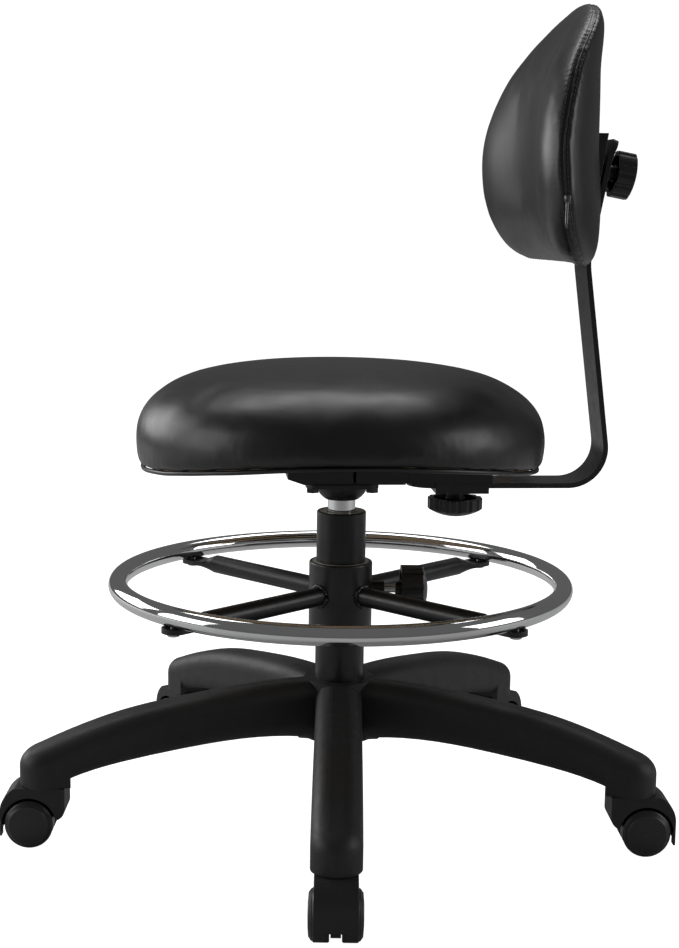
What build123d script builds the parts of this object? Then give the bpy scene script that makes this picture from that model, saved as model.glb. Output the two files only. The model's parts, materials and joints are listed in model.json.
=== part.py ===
"""Drafting chair: five-arm caster base, gas lift, foot ring, round seat and backrest on a J-shaped bar.

Millimetres. The origin is on the floor under the column axis, +Z is up and the sitter faces -Y.
"""

from math import asin, cos, radians, sin, tan
import os

from build123d import *

# ---------------------------------------------------------------- driving dimensions
# Gaps between pieces that move on each other
slide_gap = 0.3          # flat faces of two bodies that pass each other
running_gap = 0.05       # radial gap of a shaft in its bearing
stud_gap = 0.35          # radial gap of a stud in a plain hole
lid_gap = 0.3            # hood top under the arm tip

# Five-arm base
arm_count = 5
arm_turn = -5.6          # direction of the first arm, degrees from +X
stem_circle = 304.0      # radius of the circle through the caster stems
arm_width = 46.0
arm_shoulder = 17.0      # rounding of the arms' upper edges
arm_wall = 6.0
arm_skin = 8.0           # thickness of an arm under its crown
rib_gauge = 3.0
hub_radius = 36.0
hub_top = 146.0
hub_bottom = 85.0
tip_bottom = 60.0
arm_crown_start = 45.0   # distance from the column axis where an arm leaves the hub
arm_belly_start = 33.0
arm_crown_shape = [(0.0, 0.0), (0.159, 2.0), (0.372, 8.5), (0.634, 20.5), (0.85, 39.0), (1.0, 56.0)]
arm_belly_shape = [(0.0, 24.5), (0.27, 29.5), (0.556, 24.0), (0.762, 17.0), (0.923, 9.0)]

# Gas lift
column_diameter = 50.0
column_gauge = 2.0
column_top = 319.5
column_bottom = 74.0
taper_start = 146.0      # the tube narrows below this height to wedge into the hub
column_taper = 4.0       # how much narrower the tube is at its lower end
cylinder_diameter = 28.0
cylinder_bore = 25.0
cylinder_bottom = 96.0
cylinder_top = 352.0
cone_start = 332.0       # the cylinder narrows above this height to wedge into the seat socket
cone_top_diameter = 26.4
rod_diameter = 10.0
piston_height = 266.0
bush_length = 70.0
pin_diameter = 6.0
pin_proud = 4.0
pin_travel = 2.9
seat_stroke = 150.0

# Foot ring
ring_turn = -3.8         # direction of the ring's frame, degrees from +X
ring_radius = 225.4
ring_tube = 19.3
ring_gauge = 1.5
ring_height = 246.0
sleeve_gauge = 2.7
footring_bush_gauge = 4.5
sleeve_bottom = 194.6
sleeve_top = 267.8
spoke_count = 4
spoke_tube = 19.5
spoke_gauge = 1.5
spoke_height = 235.0
spoke_round_end = 186.0  # where a spoke starts to flatten
spoke_flat_start = 210.0
spoke_flat_width = 25.0
spoke_flat_gauge = 5.0
spoke_end = 236.0
ring_screw_diameter = 6.0
ring_screw_head = 12.0
clamp_height = 238.5
clamp_nut_diameter = 16.0
clamp_nut_reach = 44.5   # distance of the welded nut's face from the column axis
clamp_stud_diameter = 8.0
clamp_knob_start = 56.0
clamp_knob_length = 33.0
clamp_knob_diameter = 49.0

# Seat
seat_shift = -2.3        # the seat's centre lies this far along Y from the column axis
seat_diameter = 412.0
seat_crown = 472.0
seat_waist = 397.0       # height of the widest part of the cushion at front and rear
seat_shoulder = 447.0    # height where the rounded side meets the domed top
seat_shoulder_inset = 29.0
board_inset = 7.6        # from the piping's centre line to the board's edge
board_gauge = 12.0
board_crown = 389.2      # underside of the board in the middle
board_bend = 788.0       # radius of the board, whose front and rear edges curve down
lip_inset = 8.4          # from the cushion's widest part to the piping's centre line
piping_diameter = 4.6

# Seat mechanism
pan_half_width = 38.0
pan_front = -57.3
pan_rear = 60.0
pan_bottom = 351.5
pan_nose_rise = 5.5
pan_nose_run = 16.0
plate_gauge = 2.5
socket_plate_gauge = 4.0
socket_plate_width = 80.0
socket_plate_length = 72.5
socket_rim_radius = 27.0
socket_nose_radius = 17.0
socket_bottom = 331.9
plate_bolt_x = 30.0
plate_bolt_y = 29.7
plate_bolt_diameter = 8.0
plate_bolt_head = 13.0
plate_bolt_head_height = 4.6
rail_side = 3.0          # from the bar's edge to the rail's outer face
rail_rear = 149.0
lever_pivot_x = -26.0
lever_window = 22.0
lever_blade_gauge = 3.0
lever_blade_width = 14.0
lever_rod = 8.0
lever_reach = 165.0
lever_drop = 13.0
lever_lift = 6.0         # degrees
lever_ear_height = 9.5
lever_window_rise = 6.5  # middle of the window above the pan's underside
lever_window_height = 13.0

# Back bar
bar_width = 52.0
bar_gauge = 5.0
bar_front = 66.0
bar_bottom = 345.9
bar_heel = 272.2         # where the bar's lower face would meet its rear face
bar_lean = 7.7           # the upright leans forward by this angle
bar_bend_height = 574.0
bar_recline = 10.5       # above the bend the bar leans backward by this angle
bar_tip_height = 673.0
bar_tip_recline = 22.0
bar_end_height = 691.0
bar_heel_radius = 40.0
bar_bend_radius = 70.0
bar_tip_radius = 25.0
bar_slot_width = 9.0
depth_travel = 30.0      # either way
back_travel = 50.0       # downward from the rest position

# Clamps of the back bar
knob_stud_diameter = 8.0
depth_stud_y = 116.0
clamp_front = 91.7
clamp_rear = 145.5
clamp_bottom = 340.8
depth_knob_diameter = 55.6
depth_knob_rim = 332.6
depth_knob_bottom = 313.6
back_stud_height = 661.4
back_knob_diameter = 46.5
back_knob_standoff = 10.0
back_knob_length = 21.5

# Backrest
back_half_width = 188.0
back_bottom = 571.5
back_top = 822.0
back_wrap = 355.0        # radius of the backrest's rear face around the sitter
back_rear = 240.0
back_thickness = 47.0
back_corner = 80.0       # rounding of the lower corners
back_shoulder = 162.0    # height of the half-round top
back_edge = 14.0
back_board_margin = 20.0
back_board_gauge = 10.0
back_cover = 3.0         # upholstery behind the board
bracket_bottom = 604.0
bracket_top = 698.0
bracket_recline = 8.6
bracket_rear = 247.2     # rear face of the bracket at bracket_mid
bracket_mid = 645.0
bracket_ear = 15.0
bracket_screw_inset = 16.0

# Casters
caster_trail = 12.0
wheel_diameter = 47.0
wheel_inner = 5.5
wheel_outer = 24.5
hood_half_width = 19.2
axle_diameter = 6.0
hood_web = 4.5
hood_clearance = 3.0     # around the wheels
hood_front = 23.0
hood_back_skin = 1.5     # at the middle of the hood's back
hood_back_reach = 12.5   # from the stem's axis to the centre of the hood's rounded back
hood_back_drop = 0.882   # depth of that centre under the hood's top, as a share of the back's radius
hood_front_bottom = 38.0
hood_skirt = 12.0
hood_notch_width = 19.8
hood_notch_height = 6.0
stem_diameter = 11.0
stem_bottom = 34.0
stem_top = 84.0
caster_swivel = [-5.3, 86.0, 138.4, 210.4, 265.0]  # trailing directions, degrees from +X

os.makedirs("parts", exist_ok=True)


def save(part, name):
    """Label a finished piece and write it as parts/name.step."""
    part.label = name
    export_step(part, f"parts/{name}.step")


def upright(angle):
    """The vertical plane through the column axis whose local X points along angle and local Y up."""
    return Plane(
        origin=(0, 0, 0),
        x_dir=(cos(radians(angle)), sin(radians(angle)), 0),
        z_dir=(sin(radians(angle)), -cos(radians(angle)), 0),
    )


# ---------------------------------------------------------------- five-arm base
def make_arm():
    """One arm along +X: a crowned bar with a rounded tip, hollow below, with a rib down its middle."""
    tip_end = stem_circle + arm_width / 2
    crown_run = tip_end + 0.3 - arm_crown_start
    arm_crown = [(arm_crown_start + share * crown_run, hub_top - drop) for share, drop in arm_crown_shape]
    arm_heel = stem_circle - arm_width / 2
    belly_run = arm_heel - arm_belly_start
    arm_belly = [(arm_belly_start + share * belly_run, tip_bottom + rise) for share, rise in arm_belly_shape]
    with BuildPart() as arm:
        with BuildSketch(Plane.XZ):
            with BuildLine():
                crown = Spline(*arm_crown)
                Line((0, hub_top), crown @ 0)
                Line(crown @ 1, (arm_crown[-1][0], tip_bottom))
                Line((arm_crown[-1][0], tip_bottom), (arm_heel, tip_bottom))
                belly = Spline(*arm_belly, (arm_heel, tip_bottom + 3))
                Line(belly @ 1, (arm_heel, tip_bottom))
                Line(belly @ 0, (0, arm_belly[0][1]))
                Line((0, arm_belly[0][1]), (0, hub_top))
            make_face()
        extrude(amount=arm_width / 2, both=True)
        with BuildSketch(Plane.XY.offset(tip_bottom)):
            with Locations((tip_end / 2 - arm_width / 4, 0)):
                Rectangle(tip_end - arm_width / 2, arm_width)
            with Locations((stem_circle, 0)):
                Circle(arm_width / 2)
        extrude(amount=hub_top, mode=Mode.INTERSECT)
        crown_edges = arm.edges().filter_by(lambda e: e.center().Z > tip_bottom + 20 and e.center().X > 60)
        crown_edges = crown_edges.filter_by(lambda e: abs(e.center().Y) > 1 or e.center().X > stem_circle)
        crown_edges = crown_edges.filter_by(lambda e: e.bounding_box().size.Z < 70)
        fillet(crown_edges.filter_by(GeomType.LINE, reverse=True), radius=arm_shoulder)
        # the hollow below, which stops short of the tip's socket
        with BuildSketch(Plane.XZ):
            with BuildLine():
                roof = Spline(*[(x, z - arm_skin) for x, z in arm_crown[:-1]])
                Line(roof @ 1, ((roof @ 1).X, tip_bottom - 5))
                Line(((roof @ 1).X, tip_bottom - 5), (arm_crown[0][0], tip_bottom - 5))
                Line((arm_crown[0][0], tip_bottom - 5), roof @ 0)
            make_face()
        extrude(amount=arm_width / 2 - arm_wall, both=True, mode=Mode.SUBTRACT)
        with BuildSketch(Plane.XZ):
            with BuildLine():
                top = Spline(*[(x, z - arm_skin + 1) for x, z in arm_crown[:-1]])
                low = Spline(*[(x, z + 4) for x, z in arm_belly])
                Line(top @ 0, low @ 0)
                Line(top @ 1, ((top @ 1).X, (low @ 1).Y))
                Line(((top @ 1).X, (low @ 1).Y), low @ 1)
            make_face()
        extrude(amount=rib_gauge / 2, both=True)
        with Locations((stem_circle, 0, tip_bottom)):
            Cylinder(stem_diameter / 2, stem_top + 2 - tip_bottom, align=(Align.CENTER, Align.CENTER, Align.MIN),
                     mode=Mode.SUBTRACT)
    return arm.part


def column_radius(height):
    """Outer radius of the column tube: straight above taper_start and narrowing below it."""
    share = max(0.0, (taper_start - height) / (taper_start - column_bottom))
    return (column_diameter - share * column_taper) / 2


arm = make_arm()
with BuildPart() as star_base:
    with PolarLocations(0, arm_count, arm_turn):
        add(arm)
    with BuildSketch(Plane.XY.offset(hub_bottom)):
        Circle(hub_radius)
    extrude(amount=hub_top - hub_bottom)
    # tapered bore for the column
    with BuildSketch(Plane.XZ):
        with BuildLine():
            Polyline(
                (0, hub_bottom - 30),
                (column_radius(hub_bottom - 30), hub_bottom - 30),
                (column_radius(taper_start), taper_start),
                (column_radius(taper_start), taper_start + 10),
                (0, taper_start + 10),
                close=True,
            )
        make_face()
    revolve(axis=Axis.Z, mode=Mode.SUBTRACT)
save(star_base.part, "star_base")

with BuildPart() as caster_stems:
    with PolarLocations(stem_circle, arm_count, arm_turn):
        with Locations((0, 0, stem_bottom)):
            Cylinder(stem_diameter / 2, stem_top - stem_bottom, align=(Align.CENTER, Align.CENTER, Align.MIN))
    chamfer(caster_stems.edges().group_by(Axis.Z)[-1], 1.0)
save(caster_stems.part, "caster_stems")


# ---------------------------------------------------------------- casters
hood_opening = wheel_diameter / 2 + hood_clearance
hood_back_radius = hood_opening + hood_back_skin


def caster_plane(index):
    """Vertical side-view plane of one caster: origin on the floor under its stem, local X along its trail."""
    arm_angle = radians(arm_turn + index * 360 / arm_count)
    side = upright(caster_swivel[index])
    side.origin = (stem_circle * cos(arm_angle), stem_circle * sin(arm_angle), 0)
    return side


def hood_outline():
    """Side view of a hood, drawn clockwise from the top front corner."""
    top = tip_bottom - lid_gap
    centre_x = hood_back_reach
    centre_z = top - hood_back_drop * hood_back_radius
    back_x = centre_x + (hood_back_radius**2 - (top - centre_z) ** 2) ** 0.5
    slant = radians(40)
    Line((-hood_front, top), (back_x, top))
    ThreePointArc(
        (back_x, top),
        (centre_x + hood_back_radius * cos(slant), centre_z + hood_back_radius * sin(slant)),
        (centre_x + hood_back_radius, centre_z),
    )
    Polyline(
        (centre_x + hood_back_radius, centre_z),
        (centre_x + hood_back_radius, hood_skirt),
        (caster_trail - 6, hood_skirt),
        (caster_trail - hood_opening, 28),
    )
    ThreePointArc((caster_trail - hood_opening, 28), (-hood_front + 3.2, 31), (-hood_front, hood_front_bottom))
    Line((-hood_front, hood_front_bottom), (-hood_front, top))


def make_hood(side):
    """Hood over a pair of wheels: an outer shell and a middle web that carries stem and axle."""
    axle_z = wheel_diameter / 2
    with BuildPart() as hood:
        with BuildSketch(side):
            with BuildLine():
                hood_outline()
            make_face()
        extrude(amount=hood_half_width, both=True)
        for direction in (1, -1):
            well = side.offset(direction * hood_web)
            with BuildSketch(well):
                with Locations((caster_trail, axle_z)):
                    Circle(hood_opening)
                with Locations((caster_trail, axle_z / 2)):
                    Rectangle(2 * hood_opening, axle_z)
            extrude(amount=direction * hood_half_width, mode=Mode.SUBTRACT)
        # notch in the rear skirt
        floor = Plane(origin=side.origin, x_dir=side.x_dir, z_dir=(0, 0, 1))
        with BuildSketch(floor):
            with Locations((hood_back_reach + hood_back_radius, 0)):
                Rectangle(12, hood_notch_width)
        extrude(amount=hood_skirt + hood_notch_height, mode=Mode.SUBTRACT)
        # bores for the axle and the stem
        with BuildSketch(side):
            with Locations((caster_trail, axle_z)):
                Circle(axle_diameter / 2)
        extrude(amount=2 * hood_web, both=True, mode=Mode.SUBTRACT)
        with BuildSketch(floor.offset(stem_bottom - 1)):
            Circle(stem_diameter / 2 + running_gap)
        extrude(amount=tip_bottom, mode=Mode.SUBTRACT)
    return hood.part


def make_wheel(side, direction):
    """Wheel with a rounded tread, a groove and a domed cap; its bore stops behind the cap."""
    axle_z = wheel_diameter / 2
    radius = wheel_diameter / 2
    cap = radius - 4.6
    hub_plane = Plane(
        origin=side.from_local_coords(Vector(caster_trail, axle_z, 0)),
        x_dir=side.x_dir,
        z_dir=side.y_dir,
    )
    bore = axle_diameter / 2 + running_gap
    outline = [
        (0, wheel_outer),
        (cap * 0.6, wheel_outer - 0.25),
        (cap, wheel_outer - 0.9),
        (cap + 0.5, wheel_outer - 1.5),
        (radius - 1.6, wheel_outer - 3.2),
        (radius - 1.2, wheel_outer - 4.3),
        (radius, wheel_outer - 5.4),
        (radius, wheel_inner + 1),
        (radius - 1, wheel_inner),
        (bore, wheel_inner),
        (bore, wheel_outer - 4),
        (0, wheel_outer - 4),
    ]
    with BuildPart() as wheel:
        with BuildSketch(hub_plane):
            with BuildLine():
                Polyline(*[(r, -direction * y) for r, y in outline], close=True)
            make_face()
        revolve(axis=Axis(hub_plane.origin, hub_plane.y_dir))
    return wheel.part


def make_axle(side):
    """Steel pin through the hood's web into both wheels."""
    with BuildPart() as axle:
        with BuildSketch(side):
            with Locations((caster_trail, wheel_diameter / 2)):
                Circle(axle_diameter / 2)
        extrude(amount=wheel_outer - 4.6, both=True)
    return axle.part


for index in range(arm_count):
    side_plane = caster_plane(index)
    number = index + 1
    save(make_hood(side_plane), f"caster_hood_{number}")
    save(make_axle(side_plane), f"caster_axle_{number}")
    save(make_wheel(side_plane, 1), f"caster_wheel_{number}_left")
    save(make_wheel(side_plane, -1), f"caster_wheel_{number}_right")


# ---------------------------------------------------------------- gas lift
def turn_profile(*points):
    """Revolve a closed outline of (radius, height) points about the column axis."""
    with BuildPart() as turning:
        with BuildSketch(Plane.XZ):
            with BuildLine():
                Polyline(*points, close=True)
            make_face()
        revolve(axis=Axis.Z)
    return turning.part


tube_inner = column_diameter / 2 - column_gauge
foot_gauge = 4.0
column_foot = column_bottom + foot_gauge
foot_radius = column_radius(column_foot) - column_gauge
rod_radius = rod_diameter / 2
with BuildPart() as column_tube:
    with BuildSketch(Plane.XZ):
        with BuildLine():
            Polyline(
                (rod_radius + running_gap, column_bottom),
                (column_radius(column_bottom), column_bottom),
                (column_radius(taper_start), taper_start),
                (column_diameter / 2, column_top - 1.2),
                (column_diameter / 2 - 1.0, column_top),
                (tube_inner, column_top),
                (tube_inner, taper_start),
                (foot_radius, column_foot),
                (rod_radius + running_gap, column_foot),
                close=True,
            )
        make_face()
    revolve(axis=Axis.Z)
save(column_tube.part, "column_tube")

cylinder_radius = cylinder_diameter / 2
bush_bore = cylinder_radius + running_gap
guide_bush = turn_profile(
    (bush_bore, column_top - bush_length),
    (tube_inner, column_top - bush_length),
    (tube_inner, column_top - 0.5),
    (bush_bore + 3, column_top - 0.5),
    (bush_bore, column_top - 3),
)
save(guide_bush, "guide_bush")

bearing_height = 5.0
bearing_radius = 12.0
thrust_bearing = turn_profile(
    (rod_radius + running_gap, column_foot),
    (bearing_radius, column_foot),
    (bearing_radius, column_foot + bearing_height),
    (rod_radius + running_gap, column_foot + bearing_height),
)
save(thrust_bearing, "thrust_bearing")

clip_gauge = 1.5
clip_groove = 0.8
rod_clip = turn_profile(
    (rod_radius - clip_groove, column_bottom - slide_gap - clip_gauge),
    (rod_radius + 4, column_bottom - slide_gap - clip_gauge),
    (rod_radius + 4, column_bottom - slide_gap),
    (rod_radius - clip_groove, column_bottom - slide_gap),
)
save(rod_clip, "rod_clip")

piston_radius = cylinder_bore / 2 - running_gap
piston_length = 12.0
shoulder = column_foot + bearing_height + slide_gap
piston_rod = turn_profile(
    (0, column_bottom - 5),
    (rod_radius, column_bottom - 5),
    (rod_radius, column_bottom - slide_gap - clip_gauge),
    (rod_radius - clip_groove, column_bottom - slide_gap - clip_gauge),
    (rod_radius - clip_groove, column_bottom - slide_gap),
    (rod_radius, column_bottom - slide_gap),
    (rod_radius, shoulder),
    (rod_radius + 2, shoulder),
    (rod_radius + 2, shoulder + 3),
    (rod_radius, shoulder + 3),
    (rod_radius, piston_height),
    (piston_radius, piston_height),
    (piston_radius, piston_height + piston_length),
    (0, piston_height + piston_length),
)
save(piston_rod, "piston_rod")

pin_radius = pin_diameter / 2
pin_bottom = cylinder_top - 24.0
valve_floor = pin_bottom - pin_travel - 1
bore_top = valve_floor - 4
cap_gauge = 6.0
gas_cylinder = turn_profile(
    (rod_radius + running_gap, cylinder_bottom),
    (cylinder_radius, cylinder_bottom),
    (cylinder_radius, cone_start),
    (cone_top_diameter / 2, cylinder_top - 1),
    (cone_top_diameter / 2 - 1, cylinder_top),
    (pin_radius + running_gap, cylinder_top),
    (pin_radius + running_gap, valve_floor),
    (0, valve_floor),
    (0, bore_top),
    (cylinder_bore / 2, bore_top),
    (cylinder_bore / 2, cylinder_bottom + cap_gauge),
    (rod_radius + running_gap, cylinder_bottom + cap_gauge),
)
save(gas_cylinder, "gas_cylinder")

release_pin = turn_profile(
    (0, pin_bottom),
    (pin_radius, pin_bottom),
    (pin_radius, cylinder_top + pin_proud - 0.8),
    (pin_radius - 0.8, cylinder_top + pin_proud),
    (0, cylinder_top + pin_proud),
)
save(release_pin, "release_pin")


# ---------------------------------------------------------------- foot ring
sleeve_bore = column_diameter + 2 * footring_bush_gauge
sleeve_radius = sleeve_bore / 2 + sleeve_gauge
bush_radius = sleeve_bore / 2 - running_gap
nut_axis = upright(ring_turn + 90)       # local X points to the clamp knob
nut_face = Plane(origin=nut_axis.from_local_coords(Vector(0, clamp_height, 0)), x_dir=(0, 0, 1), z_dir=nut_axis.x_dir)

with BuildPart() as footring_bush:
    with BuildSketch(Plane.XY.offset(sleeve_bottom + 0.5)):
        Circle(bush_radius)
        Circle(column_diameter / 2 + running_gap, mode=Mode.SUBTRACT)
    extrude(amount=sleeve_top - sleeve_bottom - 1.0)
save(footring_bush.part, "footring_bush")

with BuildPart() as footring_sleeve:
    with BuildSketch(Plane.XY.offset(sleeve_bottom)):
        Circle(sleeve_radius)
    extrude(amount=sleeve_top - sleeve_bottom)
    fillet(footring_sleeve.edges().group_by(Axis.Z)[-1], 2.0)
    with BuildSketch(nut_face):
        Circle(clamp_nut_diameter / 2)
    extrude(amount=clamp_nut_reach)
    with BuildSketch(Plane.XY.offset(sleeve_bottom)):
        Circle(sleeve_bore / 2)
    extrude(amount=sleeve_top - sleeve_bottom, mode=Mode.SUBTRACT)
    with BuildSketch(nut_face):
        Circle(clamp_stud_diameter / 2 + running_gap)
    extrude(amount=clamp_nut_reach + 1, mode=Mode.SUBTRACT)
save(footring_sleeve.part, "footring_sleeve")

flat_middle = ring_height - ring_tube / 2 - slide_gap - spoke_flat_gauge / 2


def make_spoke(angle):
    """Tube from the sleeve that is pressed flat at its far end, where it is screwed under the ring."""
    along = Vector(cos(radians(angle)), sin(radians(angle)), 0)

    def station(reach, height):
        return Plane(origin=along * reach + Vector(0, 0, height), x_dir=(-along.Y, along.X, 0), z_dir=along)

    with BuildPart() as spoke:
        with BuildSketch(station(sleeve_radius - 6, spoke_height)):
            Circle(spoke_tube / 2)
        extrude(amount=spoke_round_end - sleeve_radius + 6)
        with BuildSketch(station(spoke_round_end, spoke_height)):
            Circle(spoke_tube / 2)
        with BuildSketch(station(spoke_flat_start, flat_middle)):
            Rectangle(spoke_flat_width, spoke_flat_gauge)
        loft()
        with BuildSketch(station(spoke_flat_start, flat_middle)):
            Rectangle(spoke_flat_width, spoke_flat_gauge)
        extrude(amount=spoke_end - spoke_flat_start)
        flat_corners = spoke.edges().filter_by(Axis.Z).sort_by(Axis(along * 0, along))[-2:]
        fillet(flat_corners, spoke_flat_width / 2 - 0.5)
        with BuildSketch(Plane.XY.offset(sleeve_bottom)):
            Circle(sleeve_radius)
        extrude(amount=sleeve_top - sleeve_bottom, mode=Mode.SUBTRACT)
        with BuildSketch(station(sleeve_radius - 6, spoke_height)):
            Circle(spoke_tube / 2 - spoke_gauge)
        extrude(amount=spoke_round_end - sleeve_radius, mode=Mode.SUBTRACT)
        with BuildSketch(Plane(origin=along * ring_radius, z_dir=(0, 0, 1))):
            Circle(ring_screw_diameter / 2)
        extrude(amount=ring_height, mode=Mode.SUBTRACT)
    return spoke.part


spoke_angles = [ring_turn + 45 + index * 360 / spoke_count for index in range(spoke_count)]
with BuildPart() as footring_spokes:
    for angle in spoke_angles:
        add(make_spoke(angle))
save(footring_spokes.part, "footring_spokes")

with BuildPart() as footring:
    with BuildSketch(Plane.XZ):
        with Locations((ring_radius, ring_height)):
            Circle(ring_tube / 2)
            Circle(ring_tube / 2 - ring_gauge, mode=Mode.SUBTRACT)
    revolve(axis=Axis.Z)
save(footring.part, "footring")

screw_seat = flat_middle - spoke_flat_gauge / 2
with BuildPart() as footring_screws:
    with PolarLocations(ring_radius, spoke_count, ring_turn + 45):
        with Locations((0, 0, screw_seat)):
            Cylinder(ring_screw_diameter / 2, ring_height - 3 - screw_seat,
                     align=(Align.CENTER, Align.CENTER, Align.MIN))
            Cylinder(ring_screw_head / 2, 3.4, align=(Align.CENTER, Align.CENTER, Align.MAX))
    fillet(footring_screws.edges().group_by(Axis.Z)[0], 1.5)
save(footring_screws.part, "footring_screws")


# ---------------------------------------------------------------- clamp knobs
def make_stud(face, start, end, diameter):
    """Threaded stud along a plane's normal."""
    with BuildPart() as stud:
        with BuildSketch(face.offset(start)):
            Circle(diameter / 2)
        extrude(amount=end - start)
    return stud.part


def make_knob(face, length, diameter, flutes, hollow, boss, dome, stud_depth):
    """Fluted hand knob standing on a plane: hollow towards the clamp, with a boss for its stud.

    boss is how far the middle reaches below the plane, towards the clamp.
    """
    radius = diameter / 2
    flute_radius = radius * 0.16
    with BuildPart() as knob:
        with BuildSketch(face):
            Circle(radius)
            with PolarLocations(radius + flute_radius * 0.55, flutes):
                Circle(flute_radius, mode=Mode.SUBTRACT)
        extrude(amount=length)
        with BuildSketch(Plane(origin=face.origin, x_dir=face.x_dir, z_dir=-face.y_dir)):
            with BuildLine():
                crown = ThreePointArc((0, length), (radius * 0.62, length - dome * 0.36), (radius, length - dome))
                Polyline(crown @ 1, (radius, 0), (0, 0), crown @ 0)
            make_face()
        revolve(axis=Axis(face.origin, face.z_dir), mode=Mode.INTERSECT)
        with BuildSketch(face):
            Circle(radius - radius * 0.2)
            Circle(diameter * 0.18, mode=Mode.SUBTRACT)
        extrude(amount=hollow, mode=Mode.SUBTRACT)
        with BuildSketch(face.offset(-boss)):
            Circle(diameter * 0.16)
        extrude(amount=boss + hollow)
        with BuildSketch(face.offset(-boss)):
            Circle(knob_stud_diameter / 2)
        extrude(amount=boss + stud_depth, mode=Mode.SUBTRACT)
    return knob.part


stud_depth = 8.0
save(make_stud(nut_face, sleeve_bore / 2 + 1, clamp_knob_start + stud_depth, clamp_stud_diameter), "footring_clamp_stud")
clamp_boss = 5.5
save(
    make_knob(nut_face.offset(clamp_knob_start + clamp_boss), clamp_knob_length - clamp_boss, clamp_knob_diameter,
              10, 8.0, clamp_boss, 6.0, stud_depth - clamp_boss),
    "footring_knob",
)


# ---------------------------------------------------------------- seat
def under_board(rise):
    """Solid of everything below a surface that stands rise above the board's bent underside."""
    with BuildPart() as below:
        with BuildSketch(Plane.YZ):
            with Locations((seat_shift, board_crown - board_bend)):
                Circle(board_bend + rise)
        extrude(amount=seat_diameter, both=True)
    return below.part


def bent_slab(gauge, radius):
    """Round slab on the board's underside, with its front and rear edges bent down."""
    with BuildPart() as slab:
        with BuildSketch(Plane.XY.offset(rim_bottom - 20)):
            with Locations((0, seat_shift)):
                Circle(radius)
        extrude(amount=seat_crown - rim_bottom)
        add(under_board(gauge), mode=Mode.INTERSECT)
        add(under_board(0), mode=Mode.SUBTRACT)
    return slab.part


lip_radius = seat_diameter / 2 - lip_inset
board_radius = lip_radius - board_inset
rim_bottom = board_crown - board_bend + (board_bend**2 - lip_radius**2) ** 0.5   # piping's lowest line
board_top = board_crown + board_gauge
with BuildPart() as seat_board:
    add(bent_slab(board_gauge, board_radius))
    with BuildSketch(Plane.XY):
        with Locations((0, seat_shift)):
            with GridLocations(2 * plate_bolt_x, 2 * plate_bolt_y, 2, 2):
                Circle(plate_bolt_diameter / 2)
    extrude(amount=seat_crown, mode=Mode.SUBTRACT)
save(seat_board.part, "seat_board")

with BuildPart() as seat_piping:
    add(bent_slab(piping_diameter, lip_radius + piping_diameter / 2))
    with BuildSketch(Plane.XY):
        with Locations((0, seat_shift)):
            Circle(lip_radius - piping_diameter / 2)
    extrude(amount=seat_crown, mode=Mode.SUBTRACT)
save(seat_piping.part, "seat_piping")

lip_inner = lip_radius - piping_diameter / 2
shoulder_radius = seat_diameter / 2 - seat_shoulder_inset
dome_rise = seat_crown - seat_shoulder
dome_radius = (shoulder_radius**2 + dome_rise**2) / (2 * dome_rise)
dome_half_angle = asin(shoulder_radius / dome_radius) / 2
dome_middle = (dome_radius * sin(dome_half_angle), seat_crown - dome_radius * (1 - cos(dome_half_angle)))
with BuildPart() as seat_cushion:
    with BuildSketch(Plane.XZ.offset(-seat_shift)):
        half = seat_diameter / 2
        with BuildLine():
            side = ThreePointArc((lip_inner, rim_bottom), (half, seat_waist), (shoulder_radius, seat_shoulder))
            crown = ThreePointArc(side @ 1, dome_middle, (0, seat_crown))
            Polyline(crown @ 1, (0, rim_bottom), side @ 0)
        make_face()
    revolve(axis=Axis((0, seat_shift, 0), (0, 0, 1)))
    # the cushion rests on the board and wraps its edge down to the piping
    add(under_board(piping_diameter), mode=Mode.SUBTRACT)
    add(bent_slab(board_gauge, board_radius), mode=Mode.SUBTRACT)
    with BuildSketch(Plane.XY):
        with Locations((0, seat_shift)):
            with GridLocations(2 * plate_bolt_x, 2 * plate_bolt_y, 2, 2):
                Circle(plate_bolt_diameter / 2 + 4)
    extrude(amount=board_top + 6, mode=Mode.SUBTRACT)
save(seat_cushion.part, "seat_cushion")


# ---------------------------------------------------------------- seat mechanism
rail_half_width = bar_width / 2 + rail_side


def pan_profile(inset):
    """Side view of the pressed pan, moved inward by inset and open at the top."""
    top = board_top + inset
    nose = pan_bottom + pan_nose_rise
    Polyline(
        (pan_front + inset, top),
        (pan_front + inset, nose + inset),
        (pan_front + pan_nose_run + inset * 0.8, pan_bottom + inset),
        (pan_rear - inset, pan_bottom + inset),
        (pan_rear - inset, top),
        close=True,
    )


pan_side_y = 9.0
with BuildPart() as seat_plate:
    with BuildSketch(Plane.YZ):
        with BuildLine():
            pan_profile(0)
        make_face()
    extrude(amount=pan_half_width, both=True)
    with BuildSketch(Plane.YZ):
        with BuildLine():
            pan_profile(plate_gauge)
        make_face()
    extrude(amount=pan_half_width - plate_gauge, both=True, mode=Mode.SUBTRACT)
    with BuildSketch(Plane.XY.offset(pan_bottom)):
        Circle(cylinder_radius + 4)
        with Locations((0, seat_shift)):
            with GridLocations(2 * plate_bolt_x, 2 * plate_bolt_y, 2, 2):
                Circle(plate_bolt_diameter / 2)
    extrude(amount=plate_gauge, mode=Mode.SUBTRACT)
    # window for the lift lever and the slit opposite
    with BuildSketch(Plane.YZ.offset(-pan_half_width)):
        with Locations((0, pan_bottom + lever_window_rise)):
            Rectangle(lever_window, lever_window_height)
    extrude(amount=plate_gauge, mode=Mode.SUBTRACT)
    with BuildSketch(Plane.YZ.offset(pan_half_width - plate_gauge)):
        with Locations((pan_side_y, pan_bottom + lever_window_rise + 1)):
            Rectangle(3, lever_window_height)
    extrude(amount=plate_gauge, mode=Mode.SUBTRACT)
    # the walls stand against the board's bent underside
    add(under_board(0), mode=Mode.INTERSECT)
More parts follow.
